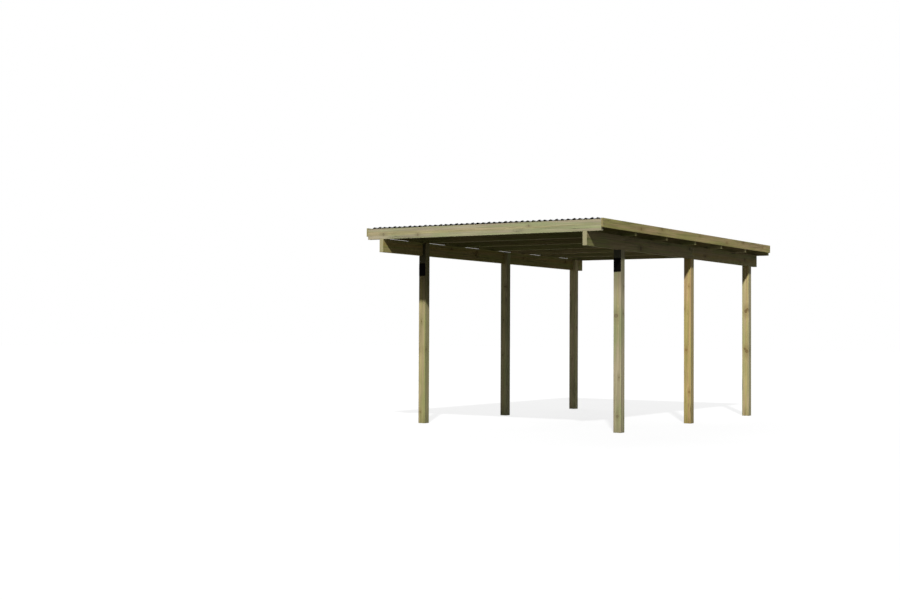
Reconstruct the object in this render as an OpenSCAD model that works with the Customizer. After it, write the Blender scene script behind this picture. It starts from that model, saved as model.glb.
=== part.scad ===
// Open single carport in sawn, pressure-treated timber. Two rows of posts
// carry two long beams, cross rafters lie on the beams, and corrugated sheets
// between two side boards close the roof, which falls a little to the rear.
// Millimetres. +X is right, +Y is the rear, +Z is up. The origin is on the
// ground, at the middle of the roof's plan.

/* [Roof] */
// Width over the outer faces of the two side boards
roof_w = 3000; // [2400:10:3600]
// Length from the front plane to the rear plane
roof_l = 4800; // [4000:10:6000]
// How much lower the rear edge lies than the front edge
roof_fall = 30; // [0:5:150]
// Height from the ground to the underside of the beams at the front
clear_h = 1972; // [1700:1:2400]

/* [Posts] */
// Width and depth of a post
post_size = 90; // [75:1:120]
// Roof in front of the front posts
front_overhang = 790; // [100:10:1200]
// Roof behind the rear posts
rear_overhang = 200; // [100:10:900]
// Gap between the top of a post's tongue and the rafters
tongue_gap = 5; // [0:1:20]

/* [Beams] */
// Thickness of a beam
beam_t = 50; // [35:1:60]
// Depth of a beam
beam_d = 152; // [95:1:220]
// How far the rafters stand out past a beam
side_overhang = 163; // [60:1:400]
// Saw gap where the two lengths of a beam meet over the middle post
splice_gap = 1; // [0.5:0.5:5]

/* [Rafters] */
// Number of rafters
rafter_count = 7; // [5:1:10]
// Thickness of a rafter
rafter_t = 45; // [35:1:60]
// Depth of a rafter
rafter_d = 120; // [90:5:200]
// How far the rafters are notched down over the beams
notch_d = 7; // [1:1:30]
// Gap between a notch and each face of the beam in it
notch_gap = 0.5; // [0.2:0.1:3]

/* [Side boards] */
// Thickness of a side board
board_t = 20; // [16:1:35]
// Depth of a side board
board_d = 95; // [70:5:145]
// Height of the sheets' crests above the top edge of a side board
board_drop = 7; // [0:1:20]

/* [Roof sheets] */
// Distance from one crest to the next
wave_pitch = 69; // [50:1:100]
// Height of a sheet over its crests
sheet_h = 18; // [14:1:30]
// Thickness of the sheet
sheet_t = 1.5; // [1:0.1:3]
// Gap between a sheet's edge and the side board
sheet_side_gap = 2; // [1:0.5:10]
// Flat edge of the right sheet, beside the right side board
edge_flat = 4; // [1:1:20]
// Clearance under a sheet, on the rafters and on its neighbour
seat_gap = 0.3; // [0.1:0.1:1]

/* [Roof screws] */
// Diameter of the cap on a roof screw
cap_d = 20; // [14:1:26]
// Height of the cap on a roof screw
cap_h = 5; // [3:1:10]
// Crests from one roof screw to the next along a rafter
crests_per_screw = 3; // [2:1:5]

/* [Front plates] */
// Width of the black plate on a front post
plate_w = 88; // [40:1:90]
// Height of the plate
plate_h = 148; // [60:1:250]
// Thickness of the plate
plate_t = 2; // [1:0.5:5]
// Post left bare between the beam and the plate
plate_drop = 90; // [10:5:200]

/* [Hidden] */
LEFT = -1;
RIGHT = 1;
POSTS_A_ROW = 3;
STEPS_A_WAVE = 10;
CAP_FN = 24;

slope = asin(roof_fall / roof_l);
lap_lift = sheet_t + seat_gap;
roof_d = beam_d - notch_d + rafter_d + seat_gap + sheet_h + lap_lift;
pivot_z = clear_h + roof_d / 2 * cos(slope) - roof_l / 2 * sin(slope);

// Heights in the roof's own sloping frame, where 0 is half way up the roof
beam_z = -roof_d / 2;
rafter_z = beam_z + beam_d - notch_d;
sheet_z = rafter_z + rafter_d + seat_gap;
board_z = sheet_z + sheet_h - board_drop - board_d;

beam_out = roof_w / 2 - board_t - side_overhang;
rafter_l = roof_w - 2 * board_t;
rafter_step = (roof_l - rafter_t) / (rafter_count - 1);
post_step = (roof_l - front_overhang - rear_overhang - post_size) / (POSTS_A_ROW - 1);
front_post_y = front_overhang - roof_l / 2;
splice_y = front_post_y + post_step + post_size / 2;

// Crests are counted from the left, and the waves are set out from the right
sheets_w = rafter_l - 2 * sheet_side_gap;
crest_count = floor((sheets_w - edge_flat) / wave_pitch);
left_flat = sheets_w - edge_flat - crest_count * wave_pitch;
waves_x = left_flat - sheets_w / 2;
outer_crests = ceil((crest_count + 2) / 3);
middle_crests = crest_count + 2 - 2 * outer_crests;

SHEETS = ["roof_sheet_left", "roof_sheet_middle", "roof_sheet_right"];
first_crest = [0, outer_crests - 1, crest_count - outer_crests];
crests_in = [outer_crests, middle_crests, outer_crests];
flat_before = [left_flat, 0, 0];
flat_after = [0, 0, edge_flat];
lift_of = [0, lap_lift, 0];

POST_PLACES = ["front", "middle", "rear"];
RAFTERS = [for (i = [1:rafter_count]) str("rafter_", i)];

function post_y(i) = front_post_y + i * post_step;
function rafter_y(i) = i * rafter_step - roof_l / 2;
function wave_height(x) = (sheet_h - sheet_t) / 2 * (1 - cos(360 * x / wave_pitch));
function crest_x(i) = waves_x + (i + 0.5) * wave_pitch;
function on_middle_sheet(i) = i >= first_crest[1] && i < first_crest[1] + middle_crests;

// Puts what is drawn in the sloping frame where the roof is
module in_roof() {
    translate([0, 0, pivot_z])
        rotate([-slope, 0, 0])
            children();
}

// Pieces are drawn for the right side, and the left ones are their mirror image
module on_side(side) {
    if (side == LEFT)
        mirror([1, 0, 0])
            children();
    else
        children();
}

// A post with its outer half cut away at the top, so that the beam sits on the
// shoulder and the tongue stands against the beam's inner face
module post(side, i) {
    color("darkkhaki")
        on_side(side)
            difference() {
                translate([beam_out - post_size, post_y(i), 0])
                    cube([post_size, post_size, pivot_z + roof_d]);
                in_roof()
                    translate([beam_out - beam_t, -roof_l, beam_z])
                        cube([post_size, 2 * roof_l, 2 * roof_d]);
                in_roof()
                    translate([0, -roof_l, rafter_z - tongue_gap])
                        cube([roof_w, 2 * roof_l, 2 * roof_d]);
            }
}

// One length of a beam, from one place along the roof to another
module beam(side, from_y, to_y) {
    color("olivedrab")
        on_side(side)
            in_roof()
                translate([beam_out - beam_t, from_y, beam_z])
                    cube([beam_t, to_y - from_y, beam_d]);
}

module beam_front(side) {
    beam(side, -roof_l / 2, splice_y - splice_gap / 2);
}

module beam_rear(side) {
    beam(side, splice_y + splice_gap / 2, roof_l / 2);
}

// Rafters lie across the beams, which reach up into a notch at each side. The
// first and the last close the roof's ends.
module rafter(i) {
    color("khaki")
        in_roof()
            difference() {
                translate([-rafter_l / 2, rafter_y(i), rafter_z])
                    cube([rafter_l, rafter_t, rafter_d]);
                for (side = [LEFT, RIGHT])
                    on_side(side)
                        translate([
                            beam_out - beam_t - notch_gap,
                            rafter_y(i) - rafter_t,
                            rafter_z - rafter_d
                        ])
                            cube([beam_t + 2 * notch_gap, 3 * rafter_t, rafter_d + notch_d]);
            }
}

// A side board covers the ends of the rafters and the edge of the sheets
module side_board(side) {
    color("tan")
        on_side(side)
            in_roof()
                translate([roof_w / 2 - board_t, -roof_l / 2, board_z])
                    cube([board_t, roof_l, board_d]);
}

// Underside of a sheet across the roof, from trough to trough, with the flat
// strips that reach the side boards
function sheet_line(k) =
    let (
        start_x = waves_x + first_crest[k] * wave_pitch,
        end_x = start_x + crests_in[k] * wave_pitch,
        steps = crests_in[k] * STEPS_A_WAVE
    )
    concat(
        flat_before[k] > 0 ? [[start_x - flat_before[k], 0]] : [],
        [for (i = [0:steps])
            [start_x + i * wave_pitch / STEPS_A_WAVE, wave_height(i * wave_pitch / STEPS_A_WAVE)]],
        flat_after[k] > 0 ? [[end_x + flat_after[k], 0]] : []
    );

// Corrugated sheets run the whole length. The middle one laps over the last
// crest of its neighbours.
module roof_sheet(k) {
    line = sheet_line(k);
    color("dimgray")
        in_roof()
            translate([0, roof_l / 2, sheet_z + lift_of[k]])
                rotate([90, 0, 0])
                    linear_extrude(height = roof_l)
                        polygon(concat(
                            line,
                            [for (i = [len(line) - 1:-1:0]) line[i] + [0, sheet_t]]
                        ));
}

// A cap on a crest over every rafter, for the screw that holds the sheet down
module roof_screws() {
    color("black")
        in_roof()
            for (i = [0:rafter_count - 1], j = [1:crests_per_screw:crest_count - 1])
                translate([
                    crest_x(j),
                    rafter_y(i) + rafter_t / 2,
                    sheet_z + sheet_h + seat_gap + (on_middle_sheet(j) ? lap_lift : 0)
                ])
                    cylinder(d = cap_d, h = cap_h, $fn = CAP_FN);
}

// A thin black plate across the front face of a front post
module plate(side) {
    beam_under = clear_h - front_overhang * tan(slope);
    color("black")
        on_side(side)
            translate([
                beam_out - (post_size + plate_w) / 2,
                front_post_y - plate_t,
                beam_under - plate_drop - plate_h
            ])
                cube([plate_w, plate_t, plate_h]);
}

for (i = [0:POSTS_A_ROW - 1]) {
    post(LEFT, i);
    post(RIGHT, i);
}
beam_front(LEFT);  // beam_left_front
beam_rear(LEFT);  // beam_left_rear
beam_front(RIGHT);  // beam_right_front
beam_rear(RIGHT);  // beam_right_rear
for (i = [0:rafter_count - 1])
    rafter(i);
side_board(LEFT);  // side_board_left
side_board(RIGHT);  // side_board_right
for (k = [0:len(SHEETS) - 1])
    roof_sheet(k);
roof_screws();
plate(LEFT);  // plate_left
plate(RIGHT);  // plate_right
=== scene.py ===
# %% [markdown]
# # An open timber carport
#
# The carport's construction is already drawn: every post, beam, rafter, board
# and roof sheet stands in its place in one shared frame, in metres. This
# notebook gives each of them the looks of the real thing. Timber gets rounded
# arrises, growth rings and knots, the roof gets fine corrugation, and the
# joints get their screws. The drawn solids are never moved or reshaped: where
# a finer shape is wanted, a new piece stands for the old one.

import math
import random

import bmesh
import bpy
from mathutils import Matrix, Vector


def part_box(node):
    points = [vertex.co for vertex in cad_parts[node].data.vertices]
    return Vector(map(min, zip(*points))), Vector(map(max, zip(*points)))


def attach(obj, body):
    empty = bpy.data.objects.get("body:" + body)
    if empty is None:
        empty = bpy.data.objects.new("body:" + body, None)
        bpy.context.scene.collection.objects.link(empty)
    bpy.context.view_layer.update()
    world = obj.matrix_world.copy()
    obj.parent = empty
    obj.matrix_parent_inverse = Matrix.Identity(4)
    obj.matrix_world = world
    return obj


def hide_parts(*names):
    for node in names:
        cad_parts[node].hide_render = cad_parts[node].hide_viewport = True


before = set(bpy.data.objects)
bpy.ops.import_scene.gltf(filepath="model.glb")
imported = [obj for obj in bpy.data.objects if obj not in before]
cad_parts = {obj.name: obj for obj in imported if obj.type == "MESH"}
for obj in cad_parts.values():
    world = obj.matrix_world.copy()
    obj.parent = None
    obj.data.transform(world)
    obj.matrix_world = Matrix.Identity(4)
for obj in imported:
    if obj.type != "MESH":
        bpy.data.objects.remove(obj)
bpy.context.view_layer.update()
print("nodes:", len(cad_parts))

# %% [markdown]
# ## Camera
#
# The carport is seen from the front, a little to the right, from a standing
# person's chest height and from well back, so that its long sides stay nearly
# parallel. A camera can be aimed with a constraint or with Euler angles. Here
# its three axes are worked out from a yaw, a pitch and a small roll, because
# that says plainly what each number does.

# %% Camera
CAMERA_PLACE = Vector((7.926, -15.02, 1.0965))
CAMERA_YAW = -0.581
CAMERA_PITCH = 0.0216
CAMERA_ROLL = 0.0046
LENS_MM = 55.308

ahead = Vector((
    math.sin(CAMERA_YAW) * math.cos(CAMERA_PITCH),
    math.cos(CAMERA_YAW) * math.cos(CAMERA_PITCH),
    math.sin(CAMERA_PITCH),
))
level = Vector((math.cos(CAMERA_YAW), -math.sin(CAMERA_YAW), 0))
upward = level.cross(ahead)
image_right = level * math.cos(CAMERA_ROLL) + upward * math.sin(CAMERA_ROLL)
image_up = upward * math.cos(CAMERA_ROLL) - level * math.sin(CAMERA_ROLL)

camera_data = bpy.data.cameras.new("camera")
camera_data.lens = LENS_MM
camera_data.sensor_width = 36
camera = bpy.data.objects.new("camera", camera_data)
turned = Matrix((image_right, image_up, -ahead)).transposed()
camera.matrix_world = Matrix.Translation(CAMERA_PLACE) @ turned.to_4x4()
bpy.context.scene.collection.objects.link(camera)
bpy.context.scene.camera = camera
bpy.context.scene.view_settings.view_transform = "Standard"
print("camera looks along", [round(part, 3) for part in ahead])

# %% [markdown]
# ## Writing a material as sums
#
# A procedural material is a web of nodes, and a web of a hundred nodes is hard
# to read. Most of them are arithmetic. So one small class stands for a socket,
# and Python's own operators add the Math nodes: `1 - mask` makes a Subtract
# node. All other nodes come from one method, which sets the node's settings
# first, because they decide which sockets it has, and its sockets second.

# %% Wires and finishes
def feed(tree, socket, value):
    """Links a wire to a socket, or writes a plain value on it."""
    if isinstance(value, Wire):
        tree.links.new(value.socket, socket)
    else:
        socket.default_value = value


def find_socket(sockets, key):
    """A socket by its number, its identifier or its name."""
    if isinstance(key, int):
        return sockets[key]
    for socket in sockets:
        if socket.identifier == key:
            return socket
    return sockets[key]


class Wire:
    """A socket that carries a number, for sums written as expressions."""

    def __init__(self, tree, socket):
        self.tree = tree
        self.socket = socket

    def math(self, operation, *values):
        node = self.tree.nodes.new("ShaderNodeMath")
        node.operation = operation
        for socket, value in zip(node.inputs, values):
            feed(self.tree, socket, value)
        return Wire(self.tree, node.outputs[0])

    def __add__(self, other):
        return self.math("ADD", self, other)

    def __radd__(self, other):
        return self.math("ADD", other, self)

    def __sub__(self, other):
        return self.math("SUBTRACT", self, other)

    def __rsub__(self, other):
        return self.math("SUBTRACT", other, self)

    def __mul__(self, other):
        return self.math("MULTIPLY", self, other)

    def __rmul__(self, other):
        return self.math("MULTIPLY", other, self)

    def __truediv__(self, other):
        return self.math("DIVIDE", self, other)

    def __abs__(self):
        return self.math("ABSOLUTE", self)

    def least(self, other):
        return self.math("MINIMUM", self, other)

    def most(self, other):
        return self.math("MAXIMUM", self, other)

    def fraction(self):
        return self.math("FRACT", self)


class Finish:
    """A material while it is made, with its Principled shader."""

    def __init__(self, name):
        self.material = bpy.data.materials.new(name)
        self.material.use_nodes = True
        self.tree = self.material.node_tree
        self.shader = self.tree.nodes["Principled BSDF"]

    def node(self, kind, settings=None, sockets=None, out=0):
        """Adds a node and gives its output, or several where out is a tuple."""
        node = self.tree.nodes.new("ShaderNode" + kind)
        for name, value in (settings or {}).items():
            if name == "stops":
                self.set_stops(node.color_ramp, value)
            else:
                setattr(node, name, value)
        for key, value in (sockets or {}).items():
            feed(self.tree, find_socket(node.inputs, key), value)
        if isinstance(out, tuple):
            return [Wire(self.tree, find_socket(node.outputs, key)) for key in out]
        return Wire(self.tree, find_socket(node.outputs, out))

    def set_stops(self, ramp, stops):
        while len(ramp.elements) < len(stops):
            ramp.elements.new(1)
        for element, (place, value) in zip(ramp.elements, stops):
            element.position = place
            element.color = (value, value, value, 1) if isinstance(value, float) else value

    def vector(self, operation, *values, out=0):
        return self.node("VectorMath", {"operation": operation}, dict(enumerate(values)), out)

    def mix(self, share, first, second, mode="MIX"):
        sockets = {"Factor_Float": share, "A_Color": first, "B_Color": second}
        settings = {"data_type": "RGBA", "blend_type": mode}
        return self.node("Mix", settings, sockets, "Result_Color")

    def ease(self, value, start, end):
        """Rises smoothly from 0 at start to 1 at end."""
        sockets = {"Value": value, "From Min": start, "From Max": end}
        return self.node("MapRange", {"interpolation_type": "SMOOTHSTEP"}, sockets)

    def place(self, point, location=(0, 0, 0), turn=(0, 0, 0)):
        """A point as seen from a frame that lies at location and is turned."""
        sockets = {"Vector": point, "Location": location, "Rotation": turn}
        return self.node("Mapping", {"vector_type": "TEXTURE"}, sockets)

    def noise(self, point, scale, seed, detail=2.0, out="Fac"):
        """Noise with so many lumps a metre along each axis."""
        shift = (3.7 * seed, 1.9 * seed, 5.3 * seed)
        sockets = {"Vector": point, "Location": shift, "Scale": scale}
        where = self.node("Mapping", {"vector_type": "POINT"}, sockets)
        sockets = {"Vector": where, "Scale": 1.0, "Detail": detail, "Roughness": 0.55}
        return self.node("TexNoise", None, sockets, out)

    def surface(self, colour, roughness, height, depth, **fixed):
        """Feeds the shader, with height as bumps of so many metres."""
        feed(self.tree, self.shader.inputs["Base Color"], colour)
        feed(self.tree, self.shader.inputs["Roughness"], roughness)
        sockets = {"Strength": 1.0, "Distance": depth, "Height": height}
        feed(self.tree, self.shader.inputs["Normal"], self.node("Bump", None, sockets))
        for name, value in fixed.items():
            self.shader.inputs[name.replace("_", " ")].default_value = value
        return self.material


def linear(tone, shift=(0, 0, 0)):
    """A display colour from 0 to 255, shifted, as the shader's colour."""
    parts = [min(max(part + more, 1), 254) / 255 for part, more in zip(tone, shift)]
    return tuple(((part + 0.055) / 1.055) ** 2.4 for part in parts) + (1,)


print("helpers ready:", Wire.__name__, Finish.__name__)

# %% [markdown]
# ## Light, floor and background
#
# One far lamp, as the sun is, stands high in front and to the right, so the
# fronts of the posts are bright, their right sides are duller, and the roof
# throws its shadow over the beams. A second, weaker and much wider one stands
# behind and to the left, so the carport can be looked at from there too. The world
# fills the shade a little. Its strength for the eye is white, but for the light
# that it gives it is much less: Light Path tells the two apart, so a white
# background needs no extra light on the timber. The floor does the same, and it
# keeps the carport's shadow. What it throws back up is a little warm.

# %% Lamp and world
TO_LAMP = Vector((0.384, -0.696, 0.607))
TO_FILL = Vector((-0.560, 0.560, 0.610))
KEY_STRENGTH = 4.1
KEY_DEGREES = 2.2
FILL_STRENGTH = 1.5
FILL_DEGREES = 50
SHADE_LIGHT = 0.22


def add_lamp(name, toward, strength, degrees):
    """A far lamp of so many degrees across, which no glossy face mirrors."""
    data = bpy.data.lights.new(name, "SUN")
    data.energy = strength
    data.angle = math.radians(degrees)
    lamp = bpy.data.objects.new(name, data)
    lamp.visible_glossy = False
    lamp.matrix_world = toward.to_track_quat("Z", "Y").to_matrix().to_4x4()
    bpy.context.scene.collection.objects.link(lamp)


add_lamp("key_lamp", TO_LAMP, KEY_STRENGTH, KEY_DEGREES)
add_lamp("fill_lamp", TO_FILL, FILL_STRENGTH, FILL_DEGREES)


def seen_rays(finish):
    """1 for what the eye sees, straight or in a mirror or glass, and else 0."""
    rays = ("Is Camera Ray", "Is Glossy Ray", "Is Transmission Ray")
    straight, mirrored, through = finish.node("LightPath", None, None, rays)
    return straight.most(mirrored).most(through)


world = bpy.data.worlds.new("studio")
world.use_nodes = True
bpy.context.scene.world = world
sky = Finish.__new__(Finish)
sky.tree = world.node_tree
backdrop = sky.tree.nodes["Background"]
backdrop.inputs["Color"].default_value = (1, 1, 1, 1)
seen = seen_rays(sky)
feed(sky.tree, backdrop.inputs["Strength"], SHADE_LIGHT + seen * (1 - SHADE_LIGHT))
print("lamp stands", round(math.degrees(math.asin(TO_LAMP.z))), "degrees high")

# %% Floor
FLOOR_HALF = 60.0
FLOOR_GLOW = 0.82
FLOOR_SHEEN = 0.18
FLOOR_BOUNCE = (0.11, 0.10, 0.075, 1)

floor_mesh = bpy.data.meshes.new("floor")
bm = bmesh.new()
bmesh.ops.create_grid(bm, x_segments=2, y_segments=2, size=FLOOR_HALF)
bm.to_mesh(floor_mesh)
bm.free()
floor = bpy.data.objects.new("floor", floor_mesh)
bpy.context.scene.collection.objects.link(floor)

paint = Finish("floor_paint")
paint.tree.nodes.remove(paint.shader)
point = paint.node("TexCoord", out="Object")
mottle = paint.noise(point, (0.6, 0.6, 0.6), 1)
pale = paint.mix(mottle, (0.96, 0.96, 0.96, 1), (1, 1, 1, 1))
glow = paint.node("Emission", None, {"Color": pale, "Strength": FLOOR_GLOW})
sheen = paint.node("BsdfDiffuse", None, {"Color": (FLOOR_SHEEN,) * 3 + (1,)})
shown = paint.node("AddShader", None, {0: glow, 1: sheen})
bounce = paint.node("BsdfDiffuse", None, {"Color": FLOOR_BOUNCE})
both = paint.node("MixShader", None, {0: seen_rays(paint), 1: bounce, 2: shown})
output = paint.tree.nodes["Material Output"]
feed(paint.tree, output.inputs["Surface"], both)
floor_mesh.materials.append(paint.material)
print("floor reaches", FLOOR_HALF, "m each way")

# %% [markdown]
# ## Pressure-treated pine
#
# A length of timber is cut from a log, so its pattern is solid: rings lie
# round the heart of the log, and a knot is a branch that runs straight out
# from the heart. If the material is worked out from the distance to the heart,
# one pattern gives the flame shapes on the wide faces, the lines on the narrow
# ones and the arcs on the sawn ends, and they all meet at the edges. The
# colours come from the treatment: sapwood turns green, heartwood takes less
# of it and stays tan, and both go grey-pink in streaks as they weather.

# %% Timber finish
UP_THE_GRAIN = {
    "Z": (0, 0, 0),
    "Y": (-math.pi / 2, 0, 0),
    "X": (0, math.pi / 2, 0),
}


def add_knots(finish, point, knots):
    """How near the nearest knot is, in knot radii: across it, and in the grain."""
    near = None
    flow = None
    for height, bearing, radius in knots:
        turn = (0, 0, math.radians(bearing))
        branch = finish.place(point, (0, 0, height), turn)
        outward = finish.node("SeparateXYZ", None, {0: branch}, "X")
        behind = 9 * finish.ease(outward, 0.002, -0.002)
        across = finish.vector("MULTIPLY", branch, (0, 1 / radius, 0.85 / radius))
        along = finish.vector("MULTIPLY", branch, (0, 1 / radius, 0.36 / radius))
        this_near = finish.vector("LENGTH", across, out="Value") + behind
        this_flow = finish.vector("LENGTH", along, out="Value") + behind
        near = this_near if near is None else near.least(this_near)
        flow = this_flow if flow is None else flow.least(this_flow)
    return near, flow


def treated_pine(name, tone, grain, heart, lean, seed, knots, spokes, sawn, **marks):
    """Timber whose log's heart passes through a point, leaning a little.

    Spokes is how close the drying checks are round the heart, and sawn is the
    tone of the ends. Marks are foot, a height where splashes stop;
    stain, a height near which painted shade darkens a post towards its
    top, softly on every face and almost to black on the front;
    painted_side_shade, how much painted shade greys the right side; and bold,
    how much darker than usual the knots are.
    """
    bold = marks.get("bold", 1.0)
    finish = Finish(name)
    spot = finish.node("TexCoord", out="Object")
    turn = tuple(part + more for part, more in zip(UP_THE_GRAIN[grain], lean))
    log = finish.place(spot, heart, turn)
    wander = finish.noise(log, (5, 5, 0.8), seed, 1.0, "Color")
    log = finish.vector("MULTIPLY_ADD", wander, (0.016, 0.016, 0), log)
    ripple = finish.noise(log, (45, 45, 14), seed, 2.0, "Color")
    log = finish.vector("MULTIPLY_ADD", ripple, (0.0035, 0.0035, 0.006), log)
    near, flow = add_knots(finish, log, knots)

    # Rings, which swell round a knot
    flat = finish.vector("MULTIPLY", log, (1, 1, 0))
    reach = finish.vector("LENGTH", flat, out="Value")
    swell = finish.ease(flow, 3.4, 0.4)
    years = reach + swell * 0.014
    uneven = finish.noise(finish.node("CombineXYZ", None, {0: years}), (55, 1, 1), seed, 1.0)
    year = (years / 0.0034 + uneven * 5).fraction()
    stops = [(0.0, 0.25), (0.12, 0.0), (0.5, 0.08), (0.82, 0.8), (0.95, 1.0), (1.0, 0.25)]
    late = finish.node("ValToRGB", {"stops": stops}, {0: year})

    # Tones: green sapwood, tan heartwood, grey-pink streaks
    streak = finish.noise(log, (34, 34, 0.9), seed + 1, 3.0)
    band = finish.noise(log, (90, 90, 1.7), seed + 2, 2.0)
    patch = finish.noise(spot, (2.3, 2.3, 2.3), seed + 3, 2.0)
    fibre = finish.noise(log, (700, 700, 14), seed + 4, 2.0)
    hue = finish.ease(streak + (patch - 0.5) * 0.5, 0.36, 0.64)
    wood = finish.mix(hue, linear(tone, (-7, 1, -10)), linear(tone, (7, 0, 5)))
    inner = finish.ease(reach + (streak - 0.5) * 0.03, 0.034, 0.022)
    wood = finish.mix(inner * 0.55, wood, linear(tone, (10, -3, -14)))
    wood = finish.mix(late * 0.42, wood, linear(tone, (-34, -38, -34)))
    value = 0.80 + 0.40 * finish.ease(band, 0.25, 0.75)
    wood = finish.mix(1.0, wood, value, "MULTIPLY")
    value = 0.86 + 0.28 * fibre
    wood = finish.mix(1.0, wood, value, "MULTIPLY")
    value = 0.88 + 0.24 * patch
    wood = finish.mix(1.0, wood, value, "MULTIPLY")

    # Knots, with darker wood flowing round them
    halo = finish.ease(flow, 3.0, 0.8)
    wood = finish.mix(halo * 0.50, wood, linear(tone, (-27 * bold, -32 * bold, -30 * bold)))
    stops = []
    for place, depth in ((0.0, 48), (0.25, 32), (0.385, 66), (0.47, 34)):
        depth = depth * bold
        stops.append((place, linear(tone, (-0.93 * depth, -1.1 * depth, -0.97 * depth))))
    face = finish.node("ValToRGB", {"stops": stops}, {0: near * 0.4})
    core = finish.ease(near, 1.25, 0.98)
    wood = finish.mix(core * 0.85, wood, face)

    # Drying checks, which run out from the heart
    way = finish.vector("NORMALIZE", flat)
    climb = finish.vector("MULTIPLY", log, (0, 0, 0.55))
    split = finish.vector("MULTIPLY_ADD", way, (spokes, spokes, 0), climb)
    split = abs(finish.noise(split, (1, 1, 1), seed + 5, 2.0) - 0.5)
    spread = finish.noise(log, (6, 6, 1.4), seed + 6, 1.0)
    check = finish.ease(split, 0.016, 0.005) * finish.ease(spread, 0.55, 0.62)
    wood = finish.mix(check * 0.70, wood, linear(tone, (-104, -106, -80)))

    # Sawn ends take the treatment in another way, and arrises wear paler
    facing = finish.node("TexCoord", out="Normal")
    ends = abs(finish.node("SeparateXYZ", None, {0: facing}, grain))
    ends = finish.ease(ends, 0.75, 0.95)
    pale = finish.mix(late * 0.30, linear(sawn), linear(sawn, (-30, -30, -30)))
    wood = finish.mix(ends * 0.80, wood, pale)
    arris = finish.node("Attribute", {"attribute_name": "arris"}, None, "Fac")
    worn = arris * finish.ease(band, 0.35, 0.65)
    wood = finish.mix(worn * 0.30, wood, linear(tone, (22, 20, 20)))
    ragged = finish.node("SeparateXYZ", None, {0: spot}, "Z") + (streak - 0.5) * 0.16
    if "foot" in marks:
        splash = finish.ease(ragged, marks["foot"], 0.0)
        wood = finish.mix(splash * 0.35, wood, linear(tone, (-52, -52, -46)))
    # Painted shade: the right-facing sides are darkened and greyed, by as much as each post is
    # given, standing in for the duller light on those sides.
    if "painted_side_shade" in marks:
        right = finish.node("SeparateXYZ", None, {0: facing}, "X")
        painted_side_shade = finish.ease(right, 0.4, 0.8) * marks["painted_side_shade"]
        wood = finish.mix(painted_side_shade, wood, linear(tone, (-44, -32, -10)))
    # Painted shade: towards the top of a front post the colour darkens a little on every face, and
    # almost to black on the front, standing in for the shade under the beam and the roof.
    if "stain" in marks:
        front = finish.node("SeparateXYZ", None, {0: facing}, "Y")
        soft_painted_shade = finish.ease(ragged, marks["stain"] - 0.42, marks["stain"] - 0.06)
        wood = finish.mix(soft_painted_shade * 0.40, wood, linear(tone, (-106, -100, -80)))
        deep_painted_shade = finish.ease(ragged, marks["stain"], marks["stain"] + 0.07)
        deep_painted_shade = deep_painted_shade * finish.ease(front, -0.3, -0.7)
        wood = finish.mix(deep_painted_shade * 0.88, wood, linear(tone, (-114, -108, -84)))

    rough = 0.70 + 0.16 * fibre + 0.10 * (1 - late) + ends * 0.04
    lump = late * 0.30 + fibre * 0.55 + band * 0.35 - check * 2.2 - core * 0.25
    return finish.surface(wood, rough, lump, 0.0009, Specular_IOR_Level=0.25)


print("grain can run along", sorted(UP_THE_GRAIN))

# %% [markdown]
# ## Rounding a length of timber
#
# Planed timber never has knife edges. The planer takes a millimetre or three
# off every arris, and that thin rounded line is what catches the light. The
# drawn solid arrives as loose triangles, so a copy is merged first, its flat
# faces are joined again, and every outer edge is bevelled in two steps. Inner
# corners, as in a post's notch, are sawn and stay sharp. The rounded strip
# carries a value named arris, which the finish uses for wear.

# %% Timber pieces
ARRIS = 0.003
THIN_ARRIS = 0.0015
BOARD_ARRIS = 0.0010
BEVEL_STEPS = 2
MERGE_WITHIN = 0.00002
FLAT_WITHIN = math.radians(0.1)


def merged_copy(node):
    """The node's solid as one bmesh with whole flat faces."""
    bm = bmesh.new()
    bm.from_mesh(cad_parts[node].data)
    bmesh.ops.remove_doubles(bm, verts=bm.verts, dist=MERGE_WITHIN)
    bmesh.ops.dissolve_limit(bm, angle_limit=FLAT_WITHIN, verts=bm.verts, edges=bm.edges)
    bmesh.ops.recalc_face_normals(bm, faces=bm.faces)
    return bm


def piece_from(bm, name, material):
    """Makes a bmesh an object that rides on the frame."""
    mesh = bpy.data.meshes.new(name)
    bm.to_mesh(mesh)
    bm.free()
    mesh.materials.append(material)
    piece = bpy.data.objects.new(name, mesh)
    bpy.context.scene.collection.objects.link(piece)
    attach(piece, "root")
    return piece


def round_arrises(bm, width):
    """Bevels the outer edges and marks the middle of each rounded strip."""
    outer = [edge for edge in bm.edges if edge.is_convex]
    made = bmesh.ops.bevel(
        bm, geom=outer, offset=width, offset_type="OFFSET", segments=BEVEL_STEPS,
        profile=0.5, affect="EDGES", material=-1, clamp_overlap=True,
    )
    strip = set(made["faces"])
    arris = bm.verts.layers.float.new("arris")
    for vert in bm.verts:
        if all(face in strip for face in vert.link_faces):
            vert[arris] = 1.0


def timber(node, name, material, width=ARRIS):
    bm = merged_copy(node)
    round_arrises(bm, width)
    faces = len(bm.faces)
    piece = piece_from(bm, name, material)
    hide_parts(node)
    return faces


print("arris in mm:", ARRIS * 1000, THIN_ARRIS * 1000, BOARD_ARRIS * 1000)

# %% [markdown]
# ## Where the knots sit
#
# Pine sends out its branches in rings, a forearm apart, so knots come in
# groups round the post at one height. Each timber has a short list: how far
# along the grain a group lies, which way its main knot points, and its radius.
# A second, smaller knot of the same group points roughly the other way. The
# lists could be drawn at random, but a post's main knots are what makes it
# this post, so they are listed.

# %% Knot groups
POST_WAYS = {"right": 0, "rear": 90, "left": 180, "front": -90}
BEAM_WAYS = {"right": 0, "down": 90, "left": 180, "up": -90}
RAFTER_WAYS = {"down": 0, "rear": 90, "up": 180, "front": -90}


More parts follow.
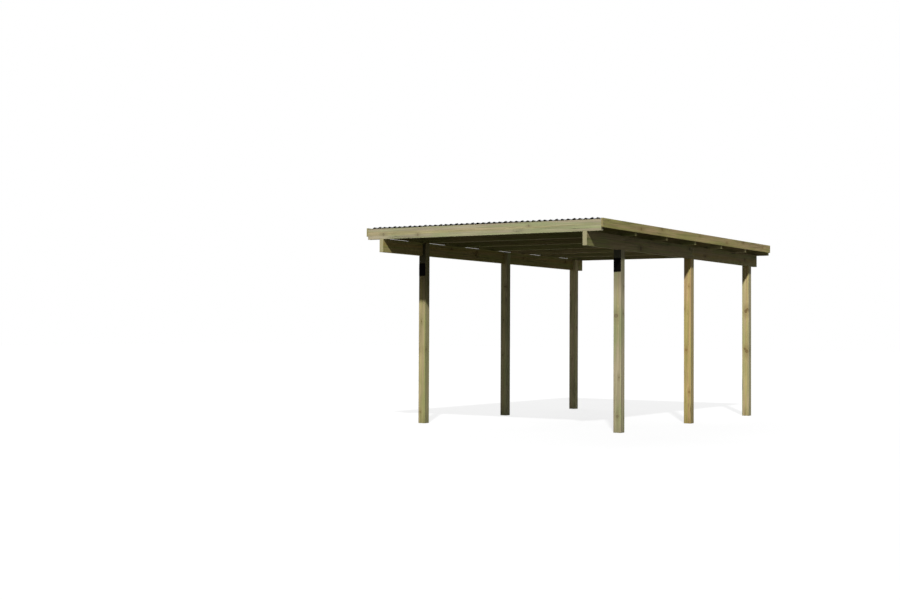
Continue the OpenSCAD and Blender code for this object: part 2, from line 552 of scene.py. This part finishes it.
def knot_group(ways, groups, rng, partners=True):
    """Knots as (place along the grain, bearing in degrees, radius in metres)."""
    knots = []
    for along, way, turn, radius_mm in groups:
        bearing = ways[way] + turn
        knots.append((along, bearing, radius_mm / 1000))
        if partners:
            around = bearing + rng.uniform(110, 250)
            drop = rng.uniform(-0.03, 0.03)
            knots.append((along + drop, around, 0.6 * radius_mm / 1000))
    return knots


print("ways a knot can point on a post:", sorted(POST_WAYS))

# %% [markdown]
# ## Posts
#
# Six posts, 90 mm square, each notched at its top for the beam. Posts of this
# size are cut with the heart of the log inside them, which is why they split a
# little as they dry. Each has its own tone: the middle one on the right is the
# most orange, the others are greener.

# %% Posts
POSTS = {
    "post_left_front": ((160, 153, 110), [
        (0.135, "front", 8, 10), (0.87, "right", -6, 13), (1.20, "left", -12, 12),
        (1.68, "left", 5, 12),
    ]),
    # The left middle and left rear posts stand in full shade. Their tones are raised above the
    # others' as painted light, which brightens that shade.
    "post_left_middle": ((168, 169, 132), [
        (0.31, "left", 10, 12), (0.78, "front", -28, 9), (1.22, "rear", 6, 14),
        (1.66, "right", -10, 12),
    ]),
    "post_left_rear": ((206, 200, 158), [
        (0.075, "front", -12, 12), (0.70, "rear", 10, 11), (1.14, "right", -5, 11),
        (1.60, "front", -20, 10),
    ]),
    "post_right_front": ((158, 154, 121), [
        (0.18, "front", -4, 12), (0.62, "rear", 9, 12), (1.26, "front", -38, 16),
        (1.60, "left", 0, 12),
    ]),
    "post_right_middle": ((178, 158, 108), [
        (0.375, "front", 24, 11), (0.875, "front", -16, 12), (1.34, "rear", 8, 12),
        (1.62, "left", -8, 11),
    ]),
    "post_right_rear": ((179, 168, 124), [
        (0.84, "front", 20, 17), (0.85, "right", 4, 16), (0.87, "front", -30, 12),
        (1.36, "front", -14, 17), (1.37, "right", -12, 16), (1.385, "front", 34, 13),
    ]),
}

POST_SEED = 81
POST_SPOKES = 2.4
SPLASH_TO = 0.15
# Painted shade darkens the front posts from about this height up.
PAINTED_SHADE_FROM = 1.80
# How much painted shade darkens and greys each post's right side.
SIDE_PAINTED_SHADE = {
    "post_left_front": 0.25, "post_right_front": 0.15,
    "post_right_middle": 0.50, "post_right_rear": 0.60,
}

for number, (node, (tone, groups)) in enumerate(POSTS.items()):
    rng = random.Random(100 + number)
    low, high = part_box(node)
    middle = (low + high) / 2
    heart = (middle.x + rng.uniform(-0.016, 0.016), middle.y + rng.uniform(-0.016, 0.016), 0)
    lean = (rng.uniform(-0.008, 0.008), rng.uniform(-0.008, 0.008), 0)
    knots = knot_group(POST_WAYS, groups, rng)
    sawn = tuple(part - 24 for part in tone)
    marks = {"foot": SPLASH_TO, "painted_side_shade": SIDE_PAINTED_SHADE.get(node, 0.0)}
    if node.endswith("front"):
        marks["stain"] = PAINTED_SHADE_FROM
    if node == "post_right_rear":
        marks["bold"] = 1.5
    finish = treated_pine(
        node + "_pine", tone, "Z", heart, lean, POST_SEED + number, knots, POST_SPOKES, sawn,
        **marks,
    )
    faces = timber(node, "timber_" + node, finish)
    print(node, "height", round(high.z, 3), "m,", len(knots), "knots,", faces, "faces")

# %% [markdown]
# ## Beams
#
# Two beams of 50 x 152 mm, each in two lengths that meet over the middle post.
# They are cut from beside the heart, so their wide faces show long flames.

# %% Beams
BEAM_ENDS = (168, 162, 128)
BEAM_SEED = 21
BEAM_SPOKES = 4.0
BEAM_BOLD = 1.5
BEAMS = {
    "beam_left_front": ((151, 145, 94), [
        (-1.85, "left", 8, 13), (-0.99, "right", -34, 12), (-0.41, "right", 12, 17),
        (-0.43, "right", 46, 17),
    ]),
    "beam_left_rear": ((156, 150, 100), [
        (0.75, "right", 10, 14), (1.32, "left", -8, 13), (1.90, "right", -6, 15),
    ]),
    "beam_right_front": ((122, 118, 82), [
        (-2.10, "left", 8, 12), (-1.12, "right", 52, 14), (-0.50, "left", -8, 13),
        (0.22, "right", -14, 15),
    ]),
    "beam_right_rear": ((128, 122, 84), [
        (0.68, "right", 9, 13), (1.30, "left", -5, 14), (1.98, "right", -12, 13),
    ]),
}

for number, (node, (tone, groups)) in enumerate(BEAMS.items()):
    rng = random.Random(200 + number)
    low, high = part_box(node)
    middle = (low + high) / 2
    heart = (middle.x - rng.choice((-1, 1)) * 0.012, 0, middle.z + rng.uniform(-0.03, 0.03))
    lean = (rng.uniform(-0.006, 0.006), rng.uniform(-0.006, 0.006), 0)
    knots = knot_group(BEAM_WAYS, groups, rng, False)
    finish = treated_pine(
        node + "_pine", tone, "Y", heart, lean, BEAM_SEED + number, knots, BEAM_SPOKES,
        BEAM_ENDS, bold=BEAM_BOLD,
    )
    faces = timber(node, "timber_" + node, finish, THIN_ARRIS)
    print(node, "length", round(high.y - low.y, 3), "m,", faces, "faces")

# %% [markdown]
# ## Rafters
#
# Seven rafters of 45 x 120 mm lie across the beams, each with a shallow notch
# over either beam. The first closes the front of the roof, so its face is the
# one that everybody sees: pale, with a small brown knot near the top, towards
# its left end.

# %% Rafters
RAFTER_TONES = [
    (158, 155, 125), (128, 127, 84), (134, 131, 88), (150, 148, 104),
    (170, 165, 122), (174, 170, 126), (170, 166, 124),
]
RAFTER_GROUPS = [
    [(-0.79, "front", 52, 8), (-1.26, "front", 30, 11), (0.63, "front", -34, 8)],
    [(-0.90, "down", 6, 11), (-0.22, "front", 12, 13), (0.61, "rear", -8, 12)],
    [(-1.10, "rear", 6, 12), (-0.31, "down", 8, 10), (0.47, "front", 6, 13)],
    [(-0.66, "front", -9, 12), (0.18, "down", -8, 11), (1.02, "rear", 10, 12)],
    [(-1.21, "down", 5, 10), (-0.44, "rear", 9, 13), (0.72, "front", -7, 12)],
    [(-0.83, "front", 10, 12), (0.05, "rear", -12, 12), (0.92, "down", 7, 11)],
    [(-1.02, "front", -6, 13), (-0.15, "rear", 10, 12), (0.80, "front", 9, 12)],
]

RAFTER_SEED = 31
RAFTER_SPOKES = 5.0

for number, (tone, groups) in enumerate(zip(RAFTER_TONES, RAFTER_GROUPS)):
    node = "rafter_" + str(number + 1)
    rng = random.Random(300 + number)
    low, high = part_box(node)
    middle = (low + high) / 2
    heart = (0, middle.y + rng.uniform(0.004, 0.014), middle.z + rng.uniform(-0.02, 0.02))
    lean = (rng.uniform(-0.006, 0.006), rng.uniform(-0.006, 0.006), 0)
    knots = knot_group(RAFTER_WAYS, groups, rng, False)
    finish = treated_pine(
        node + "_pine", tone, "X", heart, lean, RAFTER_SEED + number, knots, RAFTER_SPOKES, tone
    )
    faces = timber(node, "timber_" + node, finish, THIN_ARRIS)
    print(node, "at y", round(middle.y, 3), "m,", faces, "faces")

# %% [markdown]
# ## Side boards
#
# A thin board is nailed over the rafter ends on each side. It is cut far from
# the heart, so it has the widest flames and whole round knots.

# %% Side boards
BOARDS = {
    "side_board_right": ((154, 143, 99), 1, [
        (-1.49, "right", 4, 15), (-0.96, "right", -22, 15), (0.09, "right", -10, 9),
        (0.92, "right", 14, 12), (1.45, "right", -16, 14), (2.12, "right", 10, 10),
    ]),
    "side_board_left": ((154, 146, 104), -1, [
        (-1.80, "left", 12, 13), (-1.02, "left", -10, 14), (-0.18, "left", 16, 11),
        (0.64, "left", -14, 15), (1.40, "left", 8, 12), (2.05, "left", -6, 11),
    ]),
}

BOARD_SEED = 41
BOARD_SPOKES = 7.0
HEART_BEHIND_BOARD = 0.050
HEART_BELOW_BOARD = 0.006

for number, (node, (tone, side, groups)) in enumerate(BOARDS.items()):
    rng = random.Random(400 + number)
    low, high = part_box(node)
    middle = (low + high) / 2
    heart = (middle.x - side * HEART_BEHIND_BOARD, 0, middle.z - HEART_BELOW_BOARD)
    lean = (rng.uniform(-0.003, 0.003), rng.uniform(-0.003, 0.003), 0)
    knots = knot_group(BEAM_WAYS, groups, rng, False)
    finish = treated_pine(
        node + "_pine", tone, "Y", heart, lean, BOARD_SEED + number, knots, BOARD_SPOKES, tone
    )
    faces = timber(node, "timber_" + node, finish, BOARD_ARRIS)
    print(node, "outer face at x", round(side * max(abs(low.x), abs(high.x)), 3), "m")

# %% [markdown]
# ## Screws of the timber joints
#
# Countersunk screws hold the beams to the posts and the side boards to the
# rafter ends. A head is half a profile spun round its own axis, with a small
# round socket in its top. A drill first opens a cone in the timber, so the head
# lies just under the face: the cones are one solid, taken out of each timber
# with a Boolean, which keeps the finish running over the hole's edge.

# %% Screw heads
HEAD_PROFILE = [
    (0.0, -0.0018), (0.0013, -0.0018), (0.0016, 0.0), (0.0041, 0.0),
    (0.0045, -0.0004), (0.0020, -0.0032), (0.0, -0.0032),
]
HOLE_PROFILE = [
    (0.0, 0.0010), (0.0056, 0.0010), (0.0050, -0.0012), (0.0022, -0.0044), (0.0, -0.0044),
]
HEAD_SUNK = 0.0005
HEAD_STEPS = 16


def spun(profile, steps):
    """A closed solid, spun round Z from (radius, height) points."""
    bm = bmesh.new()
    verts = [bm.verts.new((radius, 0, height)) for radius, height in profile]
    edges = [bm.edges.new(pair) for pair in zip(verts, verts[1:])]
    bmesh.ops.spin(
        bm, geom=verts + edges, cent=(0, 0, 0), axis=(0, 0, 1), dvec=(0, 0, 0),
        angle=2 * math.pi, steps=steps, use_merge=True, use_duplicate=False,
    )
    bmesh.ops.remove_doubles(bm, verts=bm.verts, dist=0.000005)
    bmesh.ops.recalc_face_normals(bm, faces=bm.faces)
    return bm


def copies(bm, places):
    """Puts a copy of one shape at each of the given places, in one bmesh."""
    mesh = bpy.data.meshes.new("shape")
    bm.to_mesh(mesh)
    bm.free()
    whole = bmesh.new()
    for matrix in places:
        before = len(whole.verts)
        whole.from_mesh(mesh)
        whole.verts.ensure_lookup_table()
        bmesh.ops.transform(whole, matrix=matrix, verts=whole.verts[before:])
    bpy.data.meshes.remove(mesh)
    return whole


def zinc_steel(name, seed):
    finish = Finish(name)
    spot = finish.node("TexCoord", out="Object")
    bloom = finish.noise(spot, (260, 260, 260), seed, 3.0)
    metal = finish.mix(bloom, linear((112, 108, 96)), linear((176, 170, 150)))
    rough = 0.34 + 0.30 * bloom
    return finish.surface(metal, rough, bloom, 0.0001, Metallic=1.0)


def sink_holes(node, places):
    """Takes a cone out of a timber piece at each place."""
    piece = bpy.data.objects["timber_" + node]
    drill_mesh = bpy.data.meshes.new("drill")
    bm = copies(spun(HOLE_PROFILE, HEAD_STEPS), places)
    bm.to_mesh(drill_mesh)
    bm.free()
    drill = bpy.data.objects.new("drill", drill_mesh)
    bpy.context.scene.collection.objects.link(drill)
    cut = piece.modifiers.new("holes", "BOOLEAN")
    cut.operation = "DIFFERENCE"
    cut.object = drill
    shaped = piece.evaluated_get(bpy.context.evaluated_depsgraph_get())
    drilled = bpy.data.meshes.new_from_object(shaped)
    piece.modifiers.remove(cut)
    drilled.name = piece.name
    piece.data = drilled
    bpy.data.objects.remove(drill)
    return len(drilled.polygons)


def facing_out(side, x, y, z):
    """Where a screw head goes on a face that looks to the left or the right."""
    turn = Matrix.Rotation(side * math.pi / 2, 4, "Y")
    return Matrix.Translation((x, y, z)) @ turn


# %% Screws in beams and boards
BEAM_SCREWS = [(-0.025, -0.040), (0.025, -0.036), (-0.021, 0.038), (0.024, 0.041)]
BOARD_SCREWS = [-0.024, 0.026]
BEAM_STRAY = 0.003
BOARD_STRAY = 0.004
ROOF_FALL = 0.030
ROOF_LENGTH = 4.800
ROOF_SLOPE = math.asin(ROOF_FALL / ROOF_LENGTH)

rng = random.Random(500)
holes = {}
for side_name, side in (("left", -1), ("right", 1)):
    for place in ("front", "middle", "rear"):
        low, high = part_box("post_" + side_name + "_" + place)
        beams = ["beam_" + side_name + "_" + half for half in ("front", "rear")]
        for along, up in BEAM_SCREWS:
            y = (low.y + high.y) / 2 + along
            node = beams[0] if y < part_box(beams[0])[1].y else beams[1]
            beam_low, beam_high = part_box(node)
            x = side * max(abs(beam_low.x), abs(beam_high.x))
            z = (beam_low.z + beam_high.z) / 2 + up + rng.uniform(-BEAM_STRAY, BEAM_STRAY)
            holes.setdefault(node, []).append(facing_out(side, x, y, z))
    node = "side_board_" + side_name
    board_low, board_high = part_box(node)
    x = side * max(abs(board_low.x), abs(board_high.x))
    for number in range(len(RAFTER_TONES)):
        low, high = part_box("rafter_" + str(number + 1))
        y = (low.y + high.y) / 2
        middle_z = (board_low.z + board_high.z) / 2 - math.tan(ROOF_SLOPE) * y
        for up in BOARD_SCREWS:
            shift = rng.uniform(-BOARD_STRAY, BOARD_STRAY)
            place = facing_out(side, x, y + shift, middle_z + up)
            holes.setdefault(node, []).append(place)

heads = []
for node, places in holes.items():
    print(node, len(places), "screws,", sink_holes(node, places), "faces")
    heads += [place @ Matrix.Translation((0, 0, -HEAD_SUNK)) for place in places]
heads = copies(spun(HEAD_PROFILE, HEAD_STEPS), heads)
print("screw heads:", len(heads.faces), "faces")
piece_from(heads, "timber_screws", zinc_steel("zinc_steel", 65))

# %% [markdown]
# ## Corrugated roof sheets
#
# Three dark plastic sheets run from the front to the rear. A corrugated sheet
# can be made by sweeping a wave, or from a flat grid whose points are lifted
# by a cosine. The grid is simpler, it keeps its rows straight along the roof,
# and one solidify gives it its thickness. Rain leaves dust in the valleys, so
# the finish looks at how high a point lies in the wave. Only the weather side
# is glossy, by a clear coat. The underside is dull, so at a low angle it stays
# black and doesn't mirror the ground.

# %% Roof frame and wave
WAVE = 0.069
SHEET_HEIGHT = 0.018
SHEET_THICK = 0.0015
EDGE_FLAT = 0.004
STEPS_A_WAVE = 24
SHEET_ROWS = 12
CRESTS = 42

sheet_low, sheet_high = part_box("roof_sheet_left")
roof_middle = (sheet_low + sheet_high) / 2
ROOF = Matrix.Translation((0, 0, roof_middle.z)) @ Matrix.Rotation(-ROOF_SLOPE, 4, "X")
last_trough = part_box("roof_sheet_right")[1].x - EDGE_FLAT
first_trough = last_trough - CRESTS * WAVE
print("waves run from x", round(first_trough, 4), "to", round(last_trough, 4))


def wave_height(x):
    """Height of a sheet's underside over its troughs."""
    if not first_trough < x < last_trough:
        return 0.0
    turn = 2 * math.pi * (x - first_trough) / WAVE
    return (SHEET_HEIGHT - SHEET_THICK) / 2 * (1 - math.cos(turn))


# %% Sheet finish
def roof_plastic(name, seed):
    finish = Finish(name)
    spot = finish.node("TexCoord", out="Object")
    roof = finish.place(spot, (0, 0, roof_middle.z), (-ROOF_SLOPE, 0, 0))
    height = finish.node("SeparateXYZ", None, {0: roof}, "Z")
    cloud = finish.noise(roof, (2.2, 1.1, 2.2), seed, 3.0)
    stream = finish.noise(roof, (60, 1.6, 60), seed + 1, 3.0)
    grit = finish.noise(roof, (900, 900, 900), seed + 2, 2.0)
    facing = finish.node("TexCoord", out="Normal")
    upward = finish.ease(finish.node("SeparateXYZ", None, {0: facing}, "Z"), 0.2, 0.9)
    valley = finish.ease(height + (stream - 0.5) * 0.008, 0.003, -0.007)
    dust = (0.04 + 0.60 * valley * finish.ease(cloud, 0.35, 0.65)) * upward
    plastic = finish.mix(cloud, linear((25, 26, 27)), linear((36, 37, 38)))
    plastic = finish.mix(dust * (0.5 + grit), plastic, linear((104, 98, 86)))
    rough = 0.36 + 0.10 * stream + 0.40 * dust
    lump = grit * 0.2 + stream * 0.8
    feed(finish.tree, finish.shader.inputs["Coat Weight"], upward * (1 - 0.8 * dust))
    return finish.surface(
        plastic, rough, lump, 0.0002, Specular_IOR_Level=0.0, Coat_Roughness=0.16
    )


print("sheet is", SHEET_THICK * 1000, "mm thick")


# %% Sheets
SHEET_SEED = 51


def sharpen(bm, degrees):
    """Smooth faces, with edges over so many degrees kept sharp."""
    for face in bm.faces:
        face.smooth = True
    for edge in bm.edges:
        if len(edge.link_faces) == 2 and edge.calc_face_angle() > math.radians(degrees):
            edge.smooth = False


for number, side in enumerate(("left", "middle", "right")):
    node = "roof_sheet_" + side
    low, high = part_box(node)
    middle = (low + high) / 2
    width = high.x - low.x
    length = (high.y - low.y - SHEET_HEIGHT * math.sin(ROOF_SLOPE)) / math.cos(ROOF_SLOPE)
    columns = round(width / WAVE * STEPS_A_WAVE)
    bm = bmesh.new()
    bmesh.ops.create_grid(bm, x_segments=columns, y_segments=SHEET_ROWS, size=0.5)
    bmesh.ops.scale(bm, vec=(width, length, 1), verts=bm.verts)
    for vert in bm.verts:
        vert.co.z = wave_height(vert.co.x + middle.x) - SHEET_HEIGHT / 2
    bmesh.ops.recalc_face_normals(bm, faces=bm.faces)
    if bm.faces[0].normal.z > 0:
        bmesh.ops.reverse_faces(bm, faces=bm.faces)
    bmesh.ops.solidify(bm, geom=bm.faces, thickness=SHEET_THICK)
    bmesh.ops.recalc_face_normals(bm, faces=bm.faces)
    sharpen(bm, 50)
    bmesh.ops.rotate(bm, matrix=Matrix.Rotation(-ROOF_SLOPE, 3, "X"), verts=bm.verts)
    bmesh.ops.translate(bm, vec=middle, verts=bm.verts)
    heights = [vert.co.z for vert in bm.verts]
    faces = len(bm.faces)
    plastic = roof_plastic(node + "_plastic", SHEET_SEED + number)
    piece = piece_from(bm, "corrugated_" + side, plastic)
    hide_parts(node)
    print(node, faces, "faces, from", round(min(heights), 4), "to", round(max(heights), 4), "m high")

# %% [markdown]
# ## Roof screw caps
#
# Each sheet is held by screws through its crests, over every rafter. The screw
# itself can't be seen: a domed plastic cap covers it, with a skirt that
# saddles the crest. Half a profile spun round the screw gives the cap, and its
# skirt is then bent down by the wave's own drop.

# %% Caps
CAP_RADIUS = 0.010
CAP_HEIGHT = 0.005
SKIRT_TOP = 0.0012
CAPS_ACROSS = 14
SEAT = 0.0003
LAP_LIFT = SHEET_THICK + SEAT
SPIN_STEPS = 16


def cap_profile():
    """Half of the cap's outline, from under the rim to the top of the dome."""
    points = [(0.0, 0.0), (CAP_RADIUS, 0.0), (CAP_RADIUS, 0.0011), (0.0086, 0.0015)]
    points += [(0.0076, 0.0026), (0.0058, 0.0040), (0.0032, 0.0048), (0.0, CAP_HEIGHT)]
    return points


def cap_plastic(name, seed):
    finish = Finish(name)
    spot = finish.node("TexCoord", out="Object")
    dull = finish.noise(spot, (30, 30, 30), seed, 2.0)
    grit = finish.noise(spot, (1500, 1500, 1500), seed + 1, 2.0)
    plastic = finish.mix(dull, linear((22, 22, 23)), linear((44, 43, 42)))
    rough = 0.35 + 0.30 * dull
    return finish.surface(plastic, rough, grit, 0.00015, Specular_IOR_Level=0.4)


cap = spun(cap_profile(), SPIN_STEPS)
for vert in cap.verts:
    if vert.co.z < SKIRT_TOP:
        turn = 2 * math.pi * vert.co.x / WAVE
        vert.co.z -= (SHEET_HEIGHT - SHEET_THICK) / 2 * (1 - math.cos(turn))
sharpen(cap, 40)

cap_low, cap_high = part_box("roof_screws")
middle_low, middle_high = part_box("roof_sheet_middle")
cap_places = []
for number in range(len(RAFTER_TONES)):
    low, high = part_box("rafter_" + str(number + 1))
    for index in range(CAPS_ACROSS):
        share = index / (CAPS_ACROSS - 1)
        x = (cap_low.x + CAP_RADIUS) * (1 - share) + (cap_high.x - CAP_RADIUS) * share
        lift = LAP_LIFT if middle_low.x < x < middle_high.x else 0.0
        height = SHEET_HEIGHT / 2 + SEAT + lift
        along = (low.y + high.y) / 2 / math.cos(ROOF_SLOPE)
        cap_places.append(ROOF @ Matrix.Translation((x, along, height)))
caps = copies(cap, cap_places)
faces = len(caps.faces)
caps = piece_from(caps, "screw_caps", cap_plastic("cap_plastic", 61))
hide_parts("roof_screws")
print(len(cap_places), "caps,", faces, "faces")

# %% [markdown]
# ## Front plates
#
# A thin black plate covers the front of each front post, just under the beam.
# Its corners are rounded and its face is matt, so it reads as a dark patch.
# Four small round-headed screws, as black as the plate, hold its corners.

# %% Plates
PLATE_CORNER = 0.006
CORNER_STEPS = 6
PLATE_EDGE = 0.0005
PLATE_SEED = 71
PLATE_SCREW_IN = 0.013
PAN_PROFILE = [
    (0.0, 0.0006), (0.0010, 0.0006), (0.0013, 0.0015), (0.0022, 0.0013),
    (0.0031, 0.0007), (0.0033, 0.0), (0.0, 0.0),
]
PAN_STEPS = 14


def black_coat(name, seed):
    finish = Finish(name)
    spot = finish.node("TexCoord", out="Object")
    cloud = finish.noise(spot, (14, 14, 14), seed, 3.0)
    peel = finish.noise(spot, (1100, 1100, 1100), seed + 1, 2.0)
    coat = finish.mix(cloud, linear((5, 4, 3)), linear((14, 12, 9)))
    rough = 0.70 + 0.22 * cloud
    return finish.surface(coat, rough, peel, 0.0002, Specular_IOR_Level=0.04)


plate_heads = []
for number, side in enumerate(("left", "right")):
    node = "plate_" + side
    bm = merged_copy(node)
    upright = []
    for edge in bm.edges:
        run = edge.verts[0].co - edge.verts[1].co
        if abs(run.y) > max(abs(run.x), abs(run.z)):
            upright.append(edge)
    bmesh.ops.bevel(
        bm, geom=upright, offset=PLATE_CORNER, offset_type="OFFSET", segments=CORNER_STEPS,
        profile=0.5, affect="EDGES", material=-1, clamp_overlap=True,
    )
    front = min(bm.faces, key=lambda face: face.calc_center_median().y)
    bmesh.ops.bevel(
        bm, geom=list(front.edges), offset=PLATE_EDGE, offset_type="OFFSET",
        segments=BEVEL_STEPS, profile=0.5, affect="EDGES", material=-1, clamp_overlap=True,
    )
    faces = len(bm.faces)
    coat = black_coat(node + "_coat", PLATE_SEED + number)
    piece = piece_from(bm, "black_" + node, coat)
    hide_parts(node)
    low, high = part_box(node)
    for across in (low.x + PLATE_SCREW_IN, high.x - PLATE_SCREW_IN):
        for up in (low.z + PLATE_SCREW_IN, high.z - PLATE_SCREW_IN):
            turn = Matrix.Rotation(math.pi / 2, 4, "X")
            plate_heads.append(Matrix.Translation((across, low.y, up)) @ turn)
    print(node, faces, "faces")

pan_heads = copies(spun(PAN_PROFILE, PAN_STEPS), plate_heads)
sharpen(pan_heads, 40)
print("plate screws:", len(pan_heads.faces), "faces")
piece_from(pan_heads, "plate_screws", black_coat("black_screw", 75))
